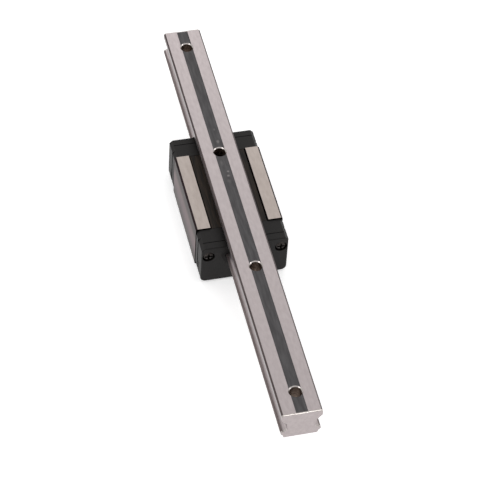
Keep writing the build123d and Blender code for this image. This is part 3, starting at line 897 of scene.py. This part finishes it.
# %% The screws at their real sizes
near_low, near_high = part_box("end_screw_near_left")
far_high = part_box("end_screw_far_right")[1]
HEAD_HEIGHT = 1.3 * MM
SHANK_RADIUS = 1.25 * MM
CROSS_SPAN, CROSS_WIDTH, CROSS_DEPTH = 2.9 * MM, 0.75 * MM, 1.0 * MM
head_radius = (near_high.x - near_low.x) / 2
screw_sizes = {
    "Head radius": head_radius, "Head height": HEAD_HEIGHT, "Shank radius": SHANK_RADIUS,
    "Shank length": near_high.y - near_low.y - HEAD_HEIGHT + SHANK_OVERLAP,
    "Cross span": CROSS_SPAN, "Cross width": CROSS_WIDTH, "Cross depth": CROSS_DEPTH,
    "Span X": far_high.x - near_low.x - 2 * head_radius,
    "Span Y": far_high.y - near_low.y - 2 * HEAD_HEIGHT,
    "Middle": (0, (near_low.y + far_high.y) / 2, (near_low.z + near_high.z) / 2),
}
screws = grown("end_screws", tree, screw_sizes)
soften(screws, [screw_steel], bevel_mm=0.06)
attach(screws, "carriage")
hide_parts(*(f"end_screw_{end}_{side}" for end in ENDS for side in SIDES))

# %% [markdown]
# ## The balls
# Four closed tracks of balls carry the load: each runs along the rail's groove, turns over in the
# end cap and comes back through a hole in the block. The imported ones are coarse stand-ins. The tree
# draws a track as a rectangle with fully rounded ends, spaces points along it and puts a ball on
# each. A ball has 80 faces, enough for what is seen through narrow gaps only.

# %% Balls along a track
tree, size = sized_tree(
    "balls round a track", Ball_radius="Float", Count="Int", Run="Float", Turn_radius="Float",
    Middle="Vector", Lean="Float",
)
TURN_POINTS = 16
BALL_ROUNDS = 2  # one round gives 20 faces, and each further one splits them in four

track_wide = node(tree, MATH, TIMES, _0=size["Turn radius"], _1=2.0)
track_long = node(tree, MATH, PLUS, _0=track_wide, _1=size["Run"])
box_track = node(tree, "GeometryNodeCurvePrimitiveQuadrilateral", Width=track_wide,
                 Height=track_long)
rounded = node(tree, "GeometryNodeFilletCurve", {"mode": "POLY"}, Curve=box_track,
               Count=TURN_POINTS, Radius=size["Turn radius"], Limit_Radius=True)
spaced = node(tree, "GeometryNodeResampleCurve", {"mode": "COUNT"}, Curve=rounded,
              Count=size["Count"])
ball = node(tree, "GeometryNodeMeshIcoSphere", Radius=size["Ball radius"], Subdivisions=BALL_ROUNDS)
string = node(tree, "GeometryNodeInstanceOnPoints", Points=spaced, Instance=ball)
lean = node(tree, POINT, Y=size["Lean"])
laid = node(tree, MOVE, Geometry=string, Translation=size["Middle"], Rotation=lean)
end_tree(tree, laid, ball_steel)

# %% Four circuits
BALL_RADIUS = 3.175 / 2
# The middles of the return holes, across and up
UPPER_RETURN, LOWER_RETURN = (13.0, 9.4375), (10.8125, 14.6125)
block_run = block_high.y - block_low.y
block_middle = (block_high.y + block_low.y) / 2
CIRCUITS = (("upper", UPPER_ROW, UPPER_RETURN), ("lower", LOWER_ROW, LOWER_RETURN))
for row_name, row, back in CIRCUITS:
    across = Vector(back) - Vector(row)
    turn_radius = across.length / 2
    count = int((2 * block_run + 2 * math.pi * turn_radius) // (2 * BALL_RADIUS))
    for side_name, side in zip(SIDES, (-1, 1)):
        middle = (side * (row[0] + back[0]) / 2, block_middle, (row[1] + back[1]) / 2)
        ball_sizes = {
            "Ball radius": BALL_RADIUS * MM, "Count": count, "Run": block_run * MM,
            "Turn radius": turn_radius * MM, "Middle": tuple(v * MM for v in middle),
            "Lean": -side * math.atan2(across.y, across.x),
        }
        balls = grown(f"balls_{row_name}_{side_name}_round", tree, ball_sizes)
        balls.data.shade_smooth()
        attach(balls, "carriage")
        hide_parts(f"balls_{row_name}_{side_name}")

# %% [markdown]
# ## Pieces inside
# The half-round guides and the upper retainer are acetal mouldings inside the carriage. They could
# be dressed too, but hardly any light reaches them, so they only take a finish.

# %% Finishes for the inner pieces
inner = [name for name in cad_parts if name.startswith(("return_guide", "upper_retainer"))]
for name in inner:
    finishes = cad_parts[name].data.materials
    finishes.clear()
    finishes.append(guide_plastic)
print("inner pieces", inner)

# %% [markdown]
# ## Studio
# The photograph has pure white all round the object. Stronger lamps would bleach the steel with it.
# Here they stay at a plain level, and only what the camera and the gloss of the metal see of table
# and room is raised to white, through the Light Path node. The table keeps a faint shadow.

# %% Table
TABLE_HALF = 3.0  # metres from the middle to the edge
TABLE_GLOW = 0.45
WHITE = linear("#FFFFFF")
SQUARE = ((-1, -1), (1, -1), (1, 1), (-1, 1))
table_corners = [(x * TABLE_HALF, y * TABLE_HALF, 0) for x, y in SQUARE]
table_mesh = bpy.data.meshes.new("table")
table_mesh.from_pydata(table_corners, [], [(0, 1, 2, 3)])
table = bpy.data.objects.new("table", table_mesh)
scene.collection.objects.link(table)


def seen_rays(tree):
    """One for rays from the camera, from gloss or through glass, and zero for other light."""
    ray = node(tree, "ShaderNodeLightPath")
    either = {"operation": "MAXIMUM"}
    straight = node(tree, MATH, either, _0=ray.outputs["Is Camera Ray"],
                    _1=ray.outputs["Is Glossy Ray"])
    return node(tree, MATH, either, _0=straight, _1=ray.outputs["Is Transmission Ray"])


# Matt white lacquer: it takes the shadow, and its glow lifts the rest to white
table_finish, tree, shader = empty_finish("white table", Roughness=0.8,
                                          Base_Color=linear("#F4F4F4"))
glow = node(tree, "ShaderNodeEmission", Color=WHITE, Strength=TABLE_GLOW)
both = node(tree, "ShaderNodeAddShader", _0=shader, _1=glow)
shown = node(tree, "ShaderNodeMixShader", _0=seen_rays(tree), _1=shader, _2=both)
tree.links.new(shown.outputs["Shader"], tree.nodes["Material Output"].inputs["Surface"])
table_mesh.materials.append(table_finish)
print("table", 2 * TABLE_HALF, "m wide")

# %% Room
ROOM_LIGHT = 0.75
world = bpy.data.worlds.new("studio")
scene.world = world
world.use_nodes = True
room = world.node_tree
lighting = room.nodes["Background"]
lighting.inputs["Color"].default_value = WHITE
lighting.inputs["Strength"].default_value = ROOM_LIGHT
backdrop = node(room, "ShaderNodeBackground", Color=WHITE, Strength=1.0)
mixed = node(room, "ShaderNodeMixShader", _0=seen_rays(room), _1=lighting, _2=backdrop)
room.links.new(mixed.outputs["Shader"], room.nodes["World Output"].inputs["Surface"])
print("room light", ROOM_LIGHT)

# %% [markdown]
# ## Lamps
# Steel mirrors its lamps, so their places matter more than their strength. One large lamp would
# leave every face equally grey. A softbox on each side and one above give the flanks, the strips
# and the rims their own tones, and a long one at the back draws the sheen along the rail.

# %% Four softboxes
LAMP_DISTANCE = 1300
LAMP_TARGET = Vector((0, 0, 10)) * MM
SOFTBOXES = (  # name, azimuth and elevation in degrees, width and height in mm, watts
    ("left softbox", -62, 38, 500, 500, 1.8),
    ("right softbox", 77, 26, 500, 400, 1.6),
    ("top softbox", 84, 80, 300, 300, 0.9),
    ("back softbox", 168, 35, 1200, 300, 1.4),
)


def around(azimuth, elevation):
    """A place round the guide, in metres, from the angles towards +X from the front and up."""
    turn, lift = math.radians(azimuth), math.radians(elevation)
    level = math.cos(lift)
    direction = Vector((level * math.sin(turn), -level * math.cos(turn), math.sin(lift)))
    return direction * LAMP_DISTANCE * MM


for name, azimuth, elevation, wide, high, watts in SOFTBOXES:
    light = bpy.data.lights.new(name, "AREA")
    light.shape = "RECTANGLE"
    light.size, light.size_y = wide * MM, high * MM
    light.energy = watts
    lamp = bpy.data.objects.new(name, light)
    scene.collection.objects.link(lamp)
    lamp.location = around(azimuth, elevation)
    lamp.rotation_euler = (LAMP_TARGET - lamp.location).to_track_quat("-Z", "Y").to_euler()
print("lamps", len(SOFTBOXES))
